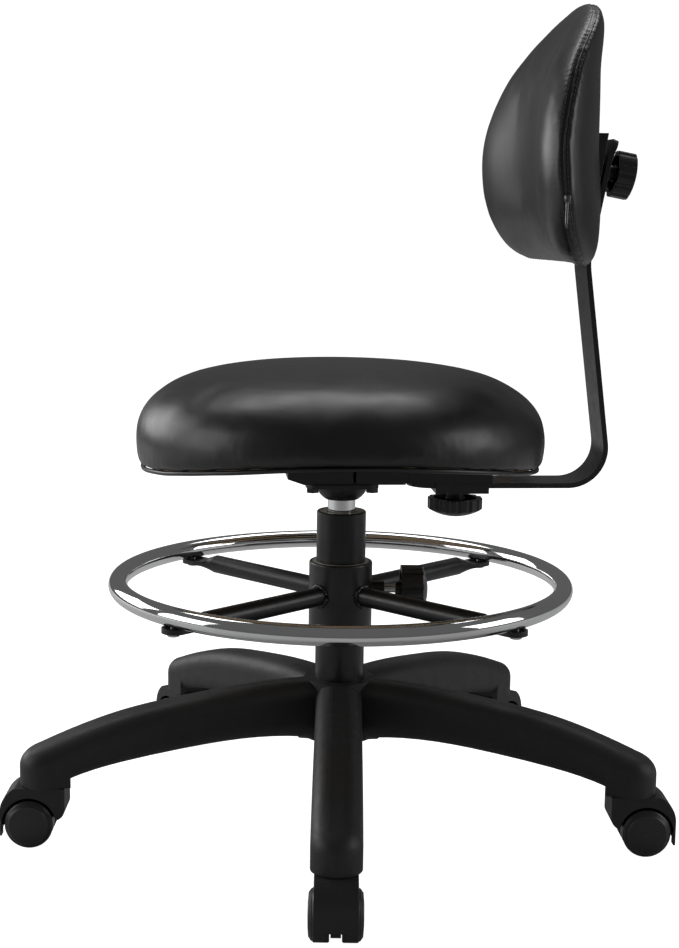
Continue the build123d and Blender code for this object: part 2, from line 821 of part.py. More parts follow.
save(seat_plate.part, "seat_plate")

socket_top = pan_bottom
socket_plate_bottom = socket_top - socket_plate_gauge
with BuildPart() as taper_socket:
    with BuildSketch(Plane.XY.offset(socket_plate_bottom)):
        with Locations((0, seat_shift)):
            RectangleRounded(socket_plate_width, socket_plate_length, 12)
    extrude(amount=socket_plate_gauge)
    with BuildSketch(Plane.XZ):
        with BuildLine():
            cup = ThreePointArc(
                (socket_rim_radius, socket_plate_bottom),
                (socket_rim_radius - 3.5, socket_bottom + 6.5),
                (socket_nose_radius, socket_bottom),
            )
            Polyline(cup @ 1, (0, socket_bottom), (0, socket_plate_bottom), cup @ 0)
        make_face()
    revolve(axis=Axis.Z)
    with BuildSketch(Plane.XY.offset(socket_top)):
        Circle(cylinder_radius + 4)
    extrude(amount=plate_gauge)
    # tapered bore that the gas cylinder wedges into
    with BuildSketch(Plane.XZ):
        with BuildLine():
            Polyline(
                (0, cone_start - 10),
                (cylinder_radius, cone_start - 10),
                (cylinder_radius, cone_start),
                (cone_top_diameter / 2, cylinder_top - 1),
                (cone_top_diameter / 2, socket_top + 10),
                (0, socket_top + 10),
                close=True,
            )
        make_face()
    revolve(axis=Axis.Z, mode=Mode.SUBTRACT)
    with BuildSketch(Plane.XY.offset(socket_plate_bottom)):
        with Locations((0, seat_shift)):
            with GridLocations(2 * plate_bolt_x, 2 * plate_bolt_y, 2, 2):
                Circle(plate_bolt_diameter / 2)
    extrude(amount=socket_plate_gauge, mode=Mode.SUBTRACT)
save(taper_socket.part, "taper_socket")

with BuildPart() as plate_bolts:
    with Locations((0, seat_shift, socket_plate_bottom)):
        with GridLocations(2 * plate_bolt_x, 2 * plate_bolt_y, 2, 2):
            Cylinder(plate_bolt_diameter / 2, board_top - socket_plate_bottom,
                     align=(Align.CENTER, Align.CENTER, Align.MIN))
    with BuildSketch(Plane.XY.offset(socket_plate_bottom - plate_bolt_head_height)):
        with Locations((0, seat_shift)):
            with GridLocations(2 * plate_bolt_x, 2 * plate_bolt_y, 2, 2):
                RegularPolygon(plate_bolt_head / 2, 6)
    extrude(amount=plate_bolt_head_height)
save(plate_bolts.part, "plate_bolts")

rail_bottom = bar_bottom + bar_gauge + slide_gap
clamp_top = bar_bottom - slide_gap
with BuildPart() as seat_rail:
    rail_length = rail_rear - pan_rear
    with BuildSketch(Plane.XZ.offset(-pan_rear)):
        with Locations((0, rail_bottom)):
            Rectangle(2 * rail_half_width, board_top - rail_bottom, align=(Align.CENTER, Align.MIN))
        with Locations((0, rail_bottom + plate_gauge)):
            Rectangle(2 * (rail_half_width - plate_gauge), board_top, align=(Align.CENTER, Align.MIN),
                      mode=Mode.SUBTRACT)
    extrude(amount=-rail_length)
    add(under_board(0), mode=Mode.INTERSECT)
    # weld nut for the depth knob's stud
    with BuildSketch(Plane.XY.offset(rail_bottom + plate_gauge)):
        with Locations((0, depth_stud_y)):
            RegularPolygon(8, 6)
    extrude(amount=6.5)
    with BuildSketch(Plane.XY.offset(rail_bottom)):
        with Locations((0, depth_stud_y)):
            Circle(knob_stud_diameter / 2 + running_gap)
    extrude(amount=12, mode=Mode.SUBTRACT)
save(seat_rail.part, "seat_rail")

with BuildPart() as rail_clamp:
    with BuildSketch(Plane.XZ.offset(-clamp_front)):
        with Locations((0, clamp_bottom)):
            Rectangle(2 * rail_half_width, rail_bottom - clamp_bottom, align=(Align.CENTER, Align.MIN))
        with Locations((0, clamp_top)):
            Rectangle(bar_width + 2 * slide_gap, rail_bottom, align=(Align.CENTER, Align.MIN), mode=Mode.SUBTRACT)
    extrude(amount=clamp_front - clamp_rear)
    with BuildSketch(Plane.XY.offset(clamp_bottom)):
        with Locations((0, depth_stud_y)):
            Circle(knob_stud_diameter / 2 + stud_gap)
    extrude(amount=clamp_top - clamp_bottom, mode=Mode.SUBTRACT)
save(rail_clamp.part, "rail_clamp")

# ---------------------------------------------------------------- lift lever
lever_height = cylinder_top + pin_proud + 0.5 + lever_blade_gauge / 2
lever_pin_diameter = 4.0
lever_eye_radius = 3.5
with BuildPart() as lever_pin:
    with BuildSketch(Plane.XZ.offset(-lever_window / 2 - 2)):
        with Locations((lever_pivot_x, lever_height)):
            Circle(lever_pin_diameter / 2)
    extrude(amount=lever_window + 4)
    # two ears that stand on the pan and carry the pin
    for ear_y in (-lever_window / 2 + 1, lever_window / 2 + 1.5):
        with BuildSketch(Plane.XZ.offset(-ear_y)):
            with Locations((lever_pivot_x, pan_bottom + plate_gauge)):
                Rectangle(9, lever_ear_height, align=(Align.CENTER, Align.MIN))
        extrude(amount=2.5)
save(lever_pin.part, "lever_pivot")

with BuildPart() as lift_lever:
    with BuildSketch(Plane.XZ.offset(-lever_blade_width / 2)):
        with Locations(((lever_pivot_x + 6 - 14) / 2, lever_height)):
            Rectangle(6 - lever_pivot_x + 14, lever_blade_gauge)
        with Locations((lever_pivot_x, lever_height)):
            Circle(lever_eye_radius)
    extrude(amount=lever_blade_width)
    with BuildLine():
        reach_start = lever_pivot_x - 12
        lever_path = FilletPolyline(
            (reach_start, 0, lever_height),
            (reach_start - 14, 0, lever_height - 1),
            (reach_start - 40, 0, lever_height - lever_drop),
            (-lever_reach, 0, lever_height - lever_drop - 2),
            radius=20,
        )
    with BuildSketch(Plane(origin=lever_path @ 0, z_dir=lever_path % 0)):
        Circle(lever_rod / 2)
    sweep(path=lever_path)
    with BuildSketch(Plane.XZ.offset(-lever_blade_width)):
        with Locations((lever_pivot_x, lever_height)):
            Circle(lever_pin_diameter / 2 + running_gap)
    extrude(amount=2 * lever_blade_width, mode=Mode.SUBTRACT)
save(lift_lever.part, "lift_lever")

grip_length = 46.0
grip_width = 24.0
grip_gauge = 12.0
with BuildPart() as lever_grip:
    with BuildSketch(Plane.XY.offset(lever_height - lever_drop - 2 - grip_gauge / 2)):
        with Locations((-lever_reach, 0)):
            RectangleRounded(grip_length, grip_width, 9)
    extrude(amount=grip_gauge)
    fillet(lever_grip.edges().group_by(Axis.Z)[-1] + lever_grip.edges().group_by(Axis.Z)[0], 3.0)
    add(lift_lever.part, mode=Mode.SUBTRACT)
save(lever_grip.part, "lever_grip")

# ---------------------------------------------------------------- back bar
rear_slope = tan(radians(bar_lean))
recline_slope = tan(radians(bar_recline))
bend_y = bar_heel - (bar_bend_height - bar_bottom) * rear_slope
tip_y = bend_y + (bar_tip_height - bar_bend_height) * recline_slope
end_y = tip_y + (bar_end_height - bar_tip_height) * tan(radians(bar_tip_recline))


def bar_face_y(height):
    """Rear face of the reclined part of the bar at a height."""
    return bend_y + (height - bar_bend_height) * recline_slope


# plane of the bar's rear face at the back knob's stud: local Y up the bar, normal to the rear
back_stud_plane = Plane(
    origin=(0, bar_face_y(back_stud_height), back_stud_height),
    x_dir=(-1, 0, 0),
    z_dir=(0, cos(radians(bar_recline)), -sin(radians(bar_recline))),
)

with BuildPart() as back_bar:
    with BuildSketch(Plane.YZ):
        with BuildLine():
            FilletPolyline(
                (bar_front, bar_bottom),
                (bar_heel, bar_bottom),
                (bend_y, bar_bend_height),
                (tip_y, bar_tip_height),
                (end_y, bar_end_height),
                radius=[bar_heel_radius, bar_bend_radius, bar_tip_radius],
            )
            offset(amount=bar_gauge, side=Side.LEFT)
        make_face()
    extrude(amount=bar_width / 2, both=True)
    fillet(back_bar.edges().filter_by(Axis.Z).group_by(Axis.Y)[0], bar_width / 2 - 0.5)
    top_corners = back_bar.edges().filter_by(Axis.X, reverse=True).filter_by(GeomType.LINE)
    fillet(top_corners.group_by(Axis.Z)[-1], 10)
    with BuildSketch(Plane.XY.offset(bar_bottom)):
        with Locations((0, depth_stud_y)):
            SlotCenterToCenter(2 * depth_travel, bar_slot_width, rotation=90)
    extrude(amount=bar_gauge, mode=Mode.SUBTRACT)
    with BuildSketch(back_stud_plane):
        with Locations((0, -back_travel / 2)):
            SlotCenterToCenter(back_travel, bar_slot_width, rotation=90)
    extrude(amount=3 * bar_gauge, both=True, mode=Mode.SUBTRACT)
save(back_bar.part, "back_bar")

depth_face = Plane(origin=(0, depth_stud_y, depth_knob_rim), x_dir=(1, 0, 0), z_dir=(0, 0, -1))
depth_boss = clamp_bottom - slide_gap - depth_knob_rim
save(
    make_knob(depth_face, depth_knob_rim - depth_knob_bottom, depth_knob_diameter, 16, 9.0, depth_boss, 8.0,
              stud_depth),
    "depth_knob",
)
stud_top = rail_bottom + plate_gauge + 8
save(make_stud(depth_face, depth_knob_rim - stud_top, stud_depth, knob_stud_diameter), "depth_stud")

back_face = back_stud_plane.offset(back_knob_standoff)
save(
    make_knob(back_face, back_knob_length, back_knob_diameter, 12, 12.0, back_knob_standoff - slide_gap, 4.0,
              stud_depth),
    "back_knob",
)

# ---------------------------------------------------------------- backrest
board_rear = back_rear - back_cover
wrap_centre = back_rear - back_wrap
bracket_slope = tan(radians(bracket_recline))


def bracket_face_y(height):
    """Rear face of the bracket at a height."""
    return bracket_rear + (height - bracket_mid) * bracket_slope


def back_outline(margin):
    """Front view of the backrest: a half-round top over a straight foot with rounded corners."""
    with BuildSketch(Plane.XZ) as front:
        with BuildLine():
            half = back_half_width - margin
            foot = back_bottom + margin
            corner = back_corner - margin
            middle = back_top - back_shoulder
            top = EllipticalCenterArc((0, middle), half, back_shoulder - margin, arc_size=180)
            left = Line(top @ 1, (-half, foot + corner))
            turn_left = RadiusArc(left @ 1, (-half + corner, foot), -corner)
            bottom = Line(turn_left @ 1, (half - corner, foot))
            turn_right = RadiusArc(bottom @ 1, (half, foot + corner), -corner)
            Line(turn_right @ 1, top @ 0)
        make_face()
    return front.sketch


def wrapped_slab(rear, gauge, margin):
    """Slab curved around the sitter, cut to the backrest's outline in the front view."""
    outer = back_wrap - (back_rear - rear)
    with BuildPart() as slab:
        add(back_outline(margin).moved(Location((0, rear + 20, 0))))
        extrude(amount=back_wrap, dir=(0, -1, 0))
        with BuildSketch(Plane.XY.offset(back_bottom - 10)):
            with Locations((0, wrap_centre)):
                Circle(outer)
                Circle(outer - gauge, mode=Mode.SUBTRACT)
        extrude(amount=back_top, mode=Mode.INTERSECT)
    return slab.part.solids().sort_by(Axis.Y)[-1]


bracket_half_width = bar_width / 2
with BuildPart() as back_board:
    add(wrapped_slab(board_rear, back_board_gauge, back_board_margin))
save(back_board.part, "back_board")

with BuildPart() as back_cushion:
    add(wrapped_slab(back_rear, back_thickness, 0))
    # pocket for the board and recess for the bracket and the bar behind it
    add(wrapped_slab(board_rear, back_board_gauge, back_board_margin),
        mode=Mode.SUBTRACT)
    recess = bracket_half_width + bracket_ear + 3
    with BuildSketch(Plane.XY.offset(back_bottom)):
        with Locations((0, board_rear - 6)):
            Rectangle(2 * recess, 40, align=(Align.CENTER, Align.MIN))
    extrude(amount=bracket_top + 6 - back_bottom, mode=Mode.SUBTRACT)
save(back_cushion.part, "back_cushion")

with BuildPart() as back_bracket:
    with BuildSketch(Plane.YZ):
        with BuildLine():
            Polyline(
                (board_rear, bracket_bottom),
                (bracket_face_y(bracket_bottom), bracket_bottom),
                (bracket_face_y(bracket_top), bracket_top),
                (board_rear, bracket_top),
                close=True,
            )
        make_face()
    extrude(amount=bracket_half_width, both=True)
    with BuildSketch(Plane.YZ):
        with BuildLine():
            Polyline(
                (board_rear, bracket_bottom - 5),
                (bracket_face_y(bracket_bottom - 5) - plate_gauge, bracket_bottom - 5),
                (bracket_face_y(bracket_top + 5) - plate_gauge, bracket_top + 5),
                (board_rear, bracket_top + 5),
                close=True,
            )
        make_face()
    extrude(amount=bracket_half_width - plate_gauge, both=True, mode=Mode.SUBTRACT)
    # ears against the board
    with BuildSketch(Plane.XZ.offset(-board_rear)):
        with Locations((0, (bracket_bottom + bracket_top) / 2)):
            ear_height = bracket_top - bracket_bottom
            Rectangle(2 * (bracket_half_width + bracket_ear), ear_height)
            Rectangle(2 * (bracket_half_width - plate_gauge), ear_height, mode=Mode.SUBTRACT)
    extrude(amount=-plate_gauge)
    # pad around the stud that the bar is clamped against
    with BuildSketch(back_stud_plane.offset(-bar_gauge - slide_gap)):
        Circle(11)
    extrude(amount=-3)
    with BuildSketch(back_stud_plane.offset(-bar_gauge)):
        Circle(knob_stud_diameter / 2)
    extrude(amount=-20, mode=Mode.SUBTRACT)
    ear_screws = [
        (x, z)
        for x in (-bracket_half_width - bracket_ear / 2, bracket_half_width + bracket_ear / 2)
        for z in (bracket_bottom + bracket_screw_inset, bracket_top - bracket_screw_inset)
    ]
    with BuildSketch(Plane.XZ.offset(-board_rear)):
        with Locations(*ear_screws):
            Circle(2.5)
    extrude(amount=-plate_gauge, mode=Mode.SUBTRACT)
save(back_bracket.part, "back_bracket")

with BuildPart() as bracket_screws:
    with BuildSketch(Plane.XZ.offset(-board_rear - plate_gauge)):
        with Locations(*ear_screws):
            Circle(4.5)
    extrude(amount=-2.6)
    with BuildSketch(Plane.XZ.offset(-board_rear - plate_gauge)):
        with Locations(*ear_screws):
            Circle(2.5)
    extrude(amount=plate_gauge)
save(bracket_screws.part, "bracket_screws")

save(make_stud(back_stud_plane, -bar_gauge - 8, back_knob_standoff + stud_depth, knob_stud_diameter), "back_stud")
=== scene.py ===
"""Looks of the drafting chair: upholstery, finishes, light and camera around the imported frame.

Metres, in the frame's own axes: Z is up and the sitter faces -Y.
"""

import json
import math

import bpy
import numpy as np
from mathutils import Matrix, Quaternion, Vector, noise
from mathutils.bvhtree import BVHTree


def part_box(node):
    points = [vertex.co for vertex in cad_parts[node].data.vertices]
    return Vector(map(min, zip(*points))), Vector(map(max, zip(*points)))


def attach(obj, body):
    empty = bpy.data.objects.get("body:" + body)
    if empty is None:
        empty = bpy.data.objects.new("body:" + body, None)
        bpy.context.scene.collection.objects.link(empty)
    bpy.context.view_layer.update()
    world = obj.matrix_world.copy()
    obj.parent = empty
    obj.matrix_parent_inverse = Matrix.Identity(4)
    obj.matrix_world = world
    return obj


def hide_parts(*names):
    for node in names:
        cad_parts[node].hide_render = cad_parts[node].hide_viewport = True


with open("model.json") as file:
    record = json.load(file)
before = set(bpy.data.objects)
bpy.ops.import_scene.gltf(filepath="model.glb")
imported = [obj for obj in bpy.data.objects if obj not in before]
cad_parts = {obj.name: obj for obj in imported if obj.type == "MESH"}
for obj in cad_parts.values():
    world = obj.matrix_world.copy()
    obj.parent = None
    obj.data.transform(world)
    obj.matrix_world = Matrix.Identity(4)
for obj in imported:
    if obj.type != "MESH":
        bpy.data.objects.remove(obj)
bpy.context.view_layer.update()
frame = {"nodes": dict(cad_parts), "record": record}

# ---------------------------------------------------------------- sizes, from the frame
MM = 0.001

seat_low, seat_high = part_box("seat_cushion")
SEAT_CENTRE = Vector(((seat_low.x + seat_high.x) / 2, (seat_low.y + seat_high.y) / 2, 0))
SEAT_RADIUS = (seat_high.x - seat_low.x) / 2
SEAT_CROWN = seat_high.z
SEAT_WAIST = SEAT_CROWN - 75 * MM       # height of the widest part at front and rear
BOARD_GAUGE = 12 * MM
BOARD_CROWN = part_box("seat_board")[1].z - BOARD_GAUGE   # underside of the board at its highest
BOARD_BEND = 788 * MM                   # radius of the board, which is lower at front and rear
PIPING_RADIUS = 2.3 * MM
LIP_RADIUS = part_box("seat_piping")[1].x - PIPING_RADIUS
COVER_GAUGE = 1.5 * MM                  # from the piping's middle line up to the cover's underside
SEAT_SLACK = 4.5 * MM                   # the cover's top starts this low and is then filled
STAPLE_COUNT = 60
STAPLE_INSET = 9 * MM                   # from the board's edge

back_low, back_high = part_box("back_cushion")
BACK_HALF_WIDTH = back_high.x + 1 * MM
BACK_CORNER = 80 * MM                   # rounding of the lower corners
BACK_REAR = back_high.y
BACK_TOP = back_high.z
BACK_BOTTOM = back_low.z
BACK_WIDEST = BACK_TOP - 162 * MM       # height where the backrest is widest
BACK_WRAP = 355 * MM                    # radius of the rear face around the sitter
BACK_THICKNESS = 57 * MM
COVER_OVERLAP = 1 * MM                  # the cover's outline stands this far outside the seam's
STITCH_PITCH = 4.6 * MM
STITCH_LENGTH = 3.0 * MM
TOOTH_PITCH = 2.0 * MM
ZIPPER_RISE = 62 * MM                   # the zipper reaches this far up both sides
SEAM_DEPTH = 14 * MM                    # the seam stands this far in front of the rear face

REMESH_SIZE = 4.5 * MM
CLOTH_PRESSURE = 3.0
CHUNK = 2000                            # vertices compared with a line at one time

CAMERA_PLACE = (1.6989, -0.1665, 0.6238)
CAMERA_LENS = 64.94
CAMERA_SENSOR = 36.0
CAMERA_SHIFT = 0.0066
CAMERA_HEADING = math.radians(5.3)      # turned from -X towards +Y
CAMERA_DIP = math.radians(8.9)
CAMERA_ROLL = math.radians(0.76)
FLOOR_REACH = 30.0


# ---------------------------------------------------------------- material building blocks
class Paint:
    """One node material around a Principled surface."""

    def __init__(self, name, roughness, metallic=0.0, **fixed):
        self.material = bpy.data.materials.new(name)
        self.material.use_nodes = True
        self.tree = self.material.node_tree
        self.surface = self.tree.nodes["Principled BSDF"]
        self.surface.inputs["Roughness"].default_value = roughness
        self.surface.inputs["Metallic"].default_value = metallic
        for socket, value in fixed.items():
            self.surface.inputs[socket.replace("_", " ")].default_value = value
        self.place = self.node("ShaderNodeTexCoord").outputs["Object"]
        self.normal = None

    def node(self, kind, **settings):
        made = self.tree.nodes.new(kind)
        for key, value in settings.items():
            setattr(made, key, value)
        return made

    def link(self, source, target):
        self.tree.links.new(source, target)

    def stretched(self, scale):
        """Object coordinates scaled apart along the three axes, for brushed or laminated stuff."""
        mapping = self.node("ShaderNodeMapping")
        mapping.inputs["Scale"].default_value = scale
        self.link(self.place, mapping.inputs["Vector"])
        return mapping.outputs["Vector"]

    def grain(self, scale, detail=4.0, rough=0.55, place=None):
        """Noise between 0 and 1 with features about 1/scale metres wide."""
        made = self.node("ShaderNodeTexNoise")
        made.inputs["Scale"].default_value = scale
        made.inputs["Detail"].default_value = detail
        made.inputs["Roughness"].default_value = rough
        self.link(place or self.place, made.inputs["Vector"])
        return made.outputs["Fac"]

    def spread(self, value, low, high, from_low=0.3, from_high=0.7):
        """Map a value between two limits."""
        made = self.node("ShaderNodeMapRange")
        made.inputs["From Min"].default_value = from_low
        made.inputs["From Max"].default_value = from_high
        made.inputs["To Min"].default_value = low
        made.inputs["To Max"].default_value = high
        self.link(value, made.inputs["Value"])
        return made.outputs["Result"]

    def mixed(self, factor, first, second):
        """A colour between two, either of which may be another node's output."""
        made = self.node("ShaderNodeMix", data_type="RGBA")
        self.link(factor, made.inputs["Factor"])
        for socket, colour in ((made.inputs["A"], first), (made.inputs["B"], second)):
            if isinstance(colour, tuple):
                socket.default_value = (*colour, 1.0)
            else:
                self.link(colour, socket)
        return made.outputs["Result"]

    def times(self, first, second):
        made = self.node("ShaderNodeMath", operation="MULTIPLY")
        self.link(first, made.inputs[0])
        self.link(second, made.inputs[1])
        return made.outputs[0]

    def soften_edges(self, radius):
        """Round every sharp edge a little in the shading."""
        bevel = self.node("ShaderNodeBevel", samples=4)
        bevel.inputs["Radius"].default_value = radius
        self.normal = bevel.outputs["Normal"]

    def edges(self, radius, reach=0.12):
        """1 along outer edges and 0 on flat stretches."""
        bevel = self.node("ShaderNodeBevel", samples=4)
        bevel.inputs["Radius"].default_value = radius
        face = self.node("ShaderNodeNewGeometry").outputs["True Normal"]
        dot = self.node("ShaderNodeVectorMath", operation="DOT_PRODUCT")
        self.link(bevel.outputs["Normal"], dot.inputs[0])
        self.link(face, dot.inputs[1])
        return self.spread(dot.outputs["Value"], 1.0, 0.0, 1.0 - reach, 1.0)

    def bump(self, height, strength, distance):
        made = self.node("ShaderNodeBump")
        made.inputs["Strength"].default_value = strength
        made.inputs["Distance"].default_value = distance
        self.link(height, made.inputs["Height"])
        if self.normal is not None:
            self.link(self.normal, made.inputs["Normal"])
        self.normal = made.outputs["Normal"]

    def done(self, colour, roughness=None):
        self.link(colour, self.surface.inputs["Base Color"])
        if roughness is not None:
            self.link(roughness, self.surface.inputs["Roughness"])
        if self.normal is not None:
            self.link(self.normal, self.surface.inputs["Normal"])
        return self.material


# ---------------------------------------------------------------- materials
def vinyl():
    """Smooth black upholstery vinyl: fine leather grain, faint handling marks, a soft sheen."""
    paint = Paint("vinyl", 0.36, Coat_Weight=0.08, Coat_Roughness=0.3)
    pebble = paint.node("ShaderNodeTexVoronoi", feature="SMOOTH_F1")
    pebble.inputs["Scale"].default_value = 950.0
    paint.link(paint.place, pebble.inputs["Vector"])
    paint.bump(paint.grain(38.0, 2.0), 0.12, 1.2 * MM)
    paint.bump(pebble.outputs["Distance"], 0.10, 0.10 * MM)
    colour = paint.mixed(paint.grain(14.0, 5.0), (0.0085, 0.0085, 0.0088), (0.0125, 0.0125, 0.013))
    return paint.done(colour, paint.spread(paint.grain(55.0, 6.0), 0.33, 0.41))


def thread():
    """Twisted black sewing thread."""
    paint = Paint("thread", 0.6)
    paint.bump(paint.grain(2600.0, 2.0), 0.5, 0.1 * MM)
    return paint.done(paint.mixed(paint.grain(900.0), (0.03, 0.03, 0.03), (0.07, 0.07, 0.07)))


def nylon():
    """Glass-filled black nylon of the base: matt, finely textured, lighter along its edges, partly
    rubbed wear and partly a painted edge highlight.
    """
    paint = Paint("nylon", 0.52)
    paint.soften_edges(1.2 * MM)
    paint.bump(paint.grain(1500.0, 3.0, 0.7), 0.22, 0.12 * MM)
    # Edges lightened in patches: rubbed wear mixed with a painted edge highlight.
    wear_and_edge_highlight = paint.times(paint.edges(1.6 * MM), paint.spread(paint.grain(60.0, 6.0), 0.1, 0.8))
    colour = paint.mixed(paint.grain(22.0, 6.0), (0.0135, 0.0135, 0.014), (0.0195, 0.0195, 0.020))
    colour = paint.mixed(wear_and_edge_highlight, colour, (0.05, 0.05, 0.051))
    return paint.done(colour, paint.spread(paint.grain(90.0, 5.0), 0.47, 0.58))


def coated_steel():
    """Satin black powder coat with a faint orange peel and lighter edges, partly rubbed to bare steel
    and partly a painted edge highlight.
    """
    paint = Paint("black_steel", 0.34)
    paint.soften_edges(0.7 * MM)
    paint.bump(paint.grain(420.0, 2.0), 0.10, 0.25 * MM)
    patches = paint.spread(paint.grain(140.0, 6.0), 0.0, 0.5, 0.45, 0.75)
    # Edges lightened in patches: rubbed bare steel mixed with a painted edge highlight.
    wear_and_edge_highlight = paint.times(paint.edges(0.8 * MM), patches)
    colour = paint.mixed(paint.grain(35.0), (0.0085, 0.0085, 0.009), (0.013, 0.013, 0.0135))
    colour = paint.mixed(wear_and_edge_highlight, colour, (0.11, 0.11, 0.11))
    return paint.done(colour, paint.spread(paint.grain(80.0, 5.0), 0.28, 0.40))


def bright_chrome():
    """Mirror chrome with faint polishing haze."""
    paint = Paint("chrome", 0.05, metallic=1.0)
    paint.bump(paint.grain(30.0, 2.0), 0.02, 0.4 * MM)
    colour = paint.mixed(paint.grain(40.0), (0.80, 0.81, 0.82), (0.88, 0.88, 0.89))
    return paint.done(colour, paint.spread(paint.grain(160.0, 6.0), 0.035, 0.08))


def turned_steel():
    """Ground and polished steel with fine rings around the upright axis."""
    paint = Paint("steel", 0.22, metallic=1.0)
    rings = paint.grain(1.0, 5.0, 0.7, paint.stretched((25.0, 25.0, 2600.0)))
    paint.soften_edges(0.3 * MM)
    paint.bump(rings, 0.10, 0.03 * MM)
    colour = paint.mixed(paint.grain(60.0), (0.52, 0.52, 0.53), (0.66, 0.66, 0.67))
    return paint.done(colour, paint.spread(rings, 0.16, 0.30))


def birch_plywood():
    """Birch plywood: long grain on the faces and thin plies that show on the edges."""
    paint = Paint("plywood", 0.62)
    plies = paint.node("ShaderNodeTexWave", wave_type="BANDS", bands_direction="Z")
    plies.inputs["Scale"].default_value = 130.0
    plies.inputs["Distortion"].default_value = 0.6
    paint.link(paint.place, plies.inputs["Vector"])
    streak = paint.grain(1.0, 8.0, 0.65, paint.stretched((160.0, 9.0, 160.0)))
    colour = paint.mixed(streak, (0.42, 0.29, 0.17), (0.62, 0.47, 0.30))
    glue_lines = paint.spread(plies.outputs["Fac"], 0.0, 0.45, 0.5, 1.0)
    colour = paint.mixed(glue_lines, colour, (0.25, 0.15, 0.08))
    paint.bump(streak, 0.25, 0.2 * MM)
    return paint.done(colour, paint.spread(streak, 0.52, 0.72))


def knob_plastic():
    """Moulded black knob plastic with a slight sheen."""
    paint = Paint("knob_plastic", 0.33)
    paint.soften_edges(0.6 * MM)
    paint.bump(paint.grain(900.0, 3.0), 0.12, 0.12 * MM)
    # Edges lightened in patches: rubbed wear mixed with a painted edge highlight.
    wear_and_edge_highlight = paint.times(paint.edges(0.9 * MM), paint.spread(paint.grain(110.0, 5.0), 0.1, 0.7))
    colour = paint.mixed(paint.grain(45.0), (0.012, 0.012, 0.0125), (0.019, 0.019, 0.0195))
    colour = paint.mixed(wear_and_edge_highlight, colour, (0.05, 0.05, 0.05))
    return paint.done(colour, paint.spread(paint.grain(120.0), 0.28, 0.40))


def wheel_nylon():
    """Hard caster plastic, satin on the faces and scuffed dull on the running surface."""
    paint = Paint("wheel_nylon", 0.32)
    paint.soften_edges(0.5 * MM)
    scuffs = paint.grain(240.0, 7.0, 0.7)
    paint.bump(scuffs, 0.15, 0.08 * MM)
    # Edges lightened to a pale ring: a painted edge highlight on the rounded rims, mixed with rubbed
    # wear.
    wear_and_edge_highlight = paint.times(paint.edges(0.9 * MM), paint.spread(paint.grain(130.0, 6.0), 0.3, 1.0))
    colour = paint.mixed(paint.grain(70.0), (0.016, 0.016, 0.0165), (0.026, 0.026, 0.027))
    colour = paint.mixed(wear_and_edge_highlight, colour, (0.12, 0.12, 0.12))
    return paint.done(colour, paint.spread(scuffs, 0.26, 0.42))


def bush_plastic():
    """Pale acetal of the sliding bushes."""
    paint = Paint("bush_plastic", 0.4)
    paint.bump(paint.grain(500.0), 0.1, 0.1 * MM)
    return paint.done(paint.mixed(paint.grain(60.0), (0.55, 0.54, 0.50), (0.66, 0.65, 0.61)),
                      paint.spread(paint.grain(90.0), 0.34, 0.46))


def zipper_metal():
    """Dark nickel of the zipper's teeth and slider."""
    paint = Paint("zipper_metal", 0.3, metallic=1.0)
    paint.bump(paint.grain(1200.0), 0.1, 0.05 * MM)
    return paint.done(paint.mixed(paint.grain(300.0), (0.10, 0.10, 0.105), (0.22, 0.22, 0.225)))


def floor_paint():
    """Plain white studio floor, evenly bright for the camera."""
    paint = Paint("floor", 0.85)
    paint.surface.inputs["Specular IOR Level"].default_value = 0.1
    paint.surface.inputs["Emission Color"].default_value = (1.0, 1.0, 1.0, 1.0)
    rays = paint.node("ShaderNodeLightPath")
    glow = paint.spread(rays.outputs["Is Camera Ray"], 0.0, 1.0, 0.0, 1.0)
    paint.link(glow, paint.surface.inputs["Emission Strength"])
    return paint.done(paint.mixed(paint.grain(2.0), (0.60, 0.60, 0.60), (0.62, 0.62, 0.62)))


FINISHES = {
    "nylon": nylon(),
    "black_steel": coated_steel(),
    "chrome": bright_chrome(),
    "steel": turned_steel(),
    "vinyl": vinyl(),
    "plywood": birch_plywood(),
    "knob_plastic": knob_plastic(),
    "wheel_nylon": wheel_nylon(),
    "bush_plastic": bush_plastic(),
}
THREAD = thread()
ZIPPER = zipper_metal()


def wear(piece, material):
    """Give a piece one material on all of its faces."""
    piece.data.materials.clear()
    piece.data.materials.append(material)


def finish_cad_nodes():
    """Every CAD node takes the finish of its slot."""
    for part in frame["record"]["subparts"]:
        piece = frame["nodes"][part["node"]]
        for index in range(len(piece.material_slots)):
            piece.material_slots[index].link = "OBJECT"
            piece.material_slots[index].material = FINISHES[part["material_slot"]]
        if not piece.material_slots:
            piece.data.materials.append(FINISHES[part["material_slot"]])


# ---------------------------------------------------------------- mesh helpers
def new_piece(name, vertices, faces, material, smooth=True):
    mesh = bpy.data.meshes.new(name)
    mesh.from_pydata([tuple(v) for v in vertices], [], faces)
    mesh.update()
    if smooth:
        mesh.polygons.foreach_set("use_smooth", [True] * len(mesh.polygons))
    piece = bpy.data.objects.new(name, mesh)
    bpy.context.scene.collection.objects.link(piece)
    wear(piece, material)
    return piece


def ring_faces(rings, around, closed_ends=True):
    """Quads between successive rings of around points, with a fan at each closed end."""
    faces = []
    for ring in range(rings - 1):
        for i in range(around):
            j = (i + 1) % around
            here, above = ring * around, (ring + 1) * around
            faces.append((here + i, here + j, above + j, above + i))
    if closed_ends:
        first, last = rings * around, rings * around + 1
        for i in range(around):
            j = (i + 1) % around
            faces.append((j, i, first))
            faces.append(((rings - 1) * around + i, (rings - 1) * around + j, last))
    return faces


def coordinates(mesh):
    flat = np.empty(len(mesh.vertices) * 3, np.float32)
    mesh.vertices.foreach_get("co", flat)
    return flat.reshape(-1, 3).astype(float)


def set_coordinates(mesh, points):
    mesh.vertices.foreach_set("co", np.asarray(points, np.float32).ravel())
    mesh.update()


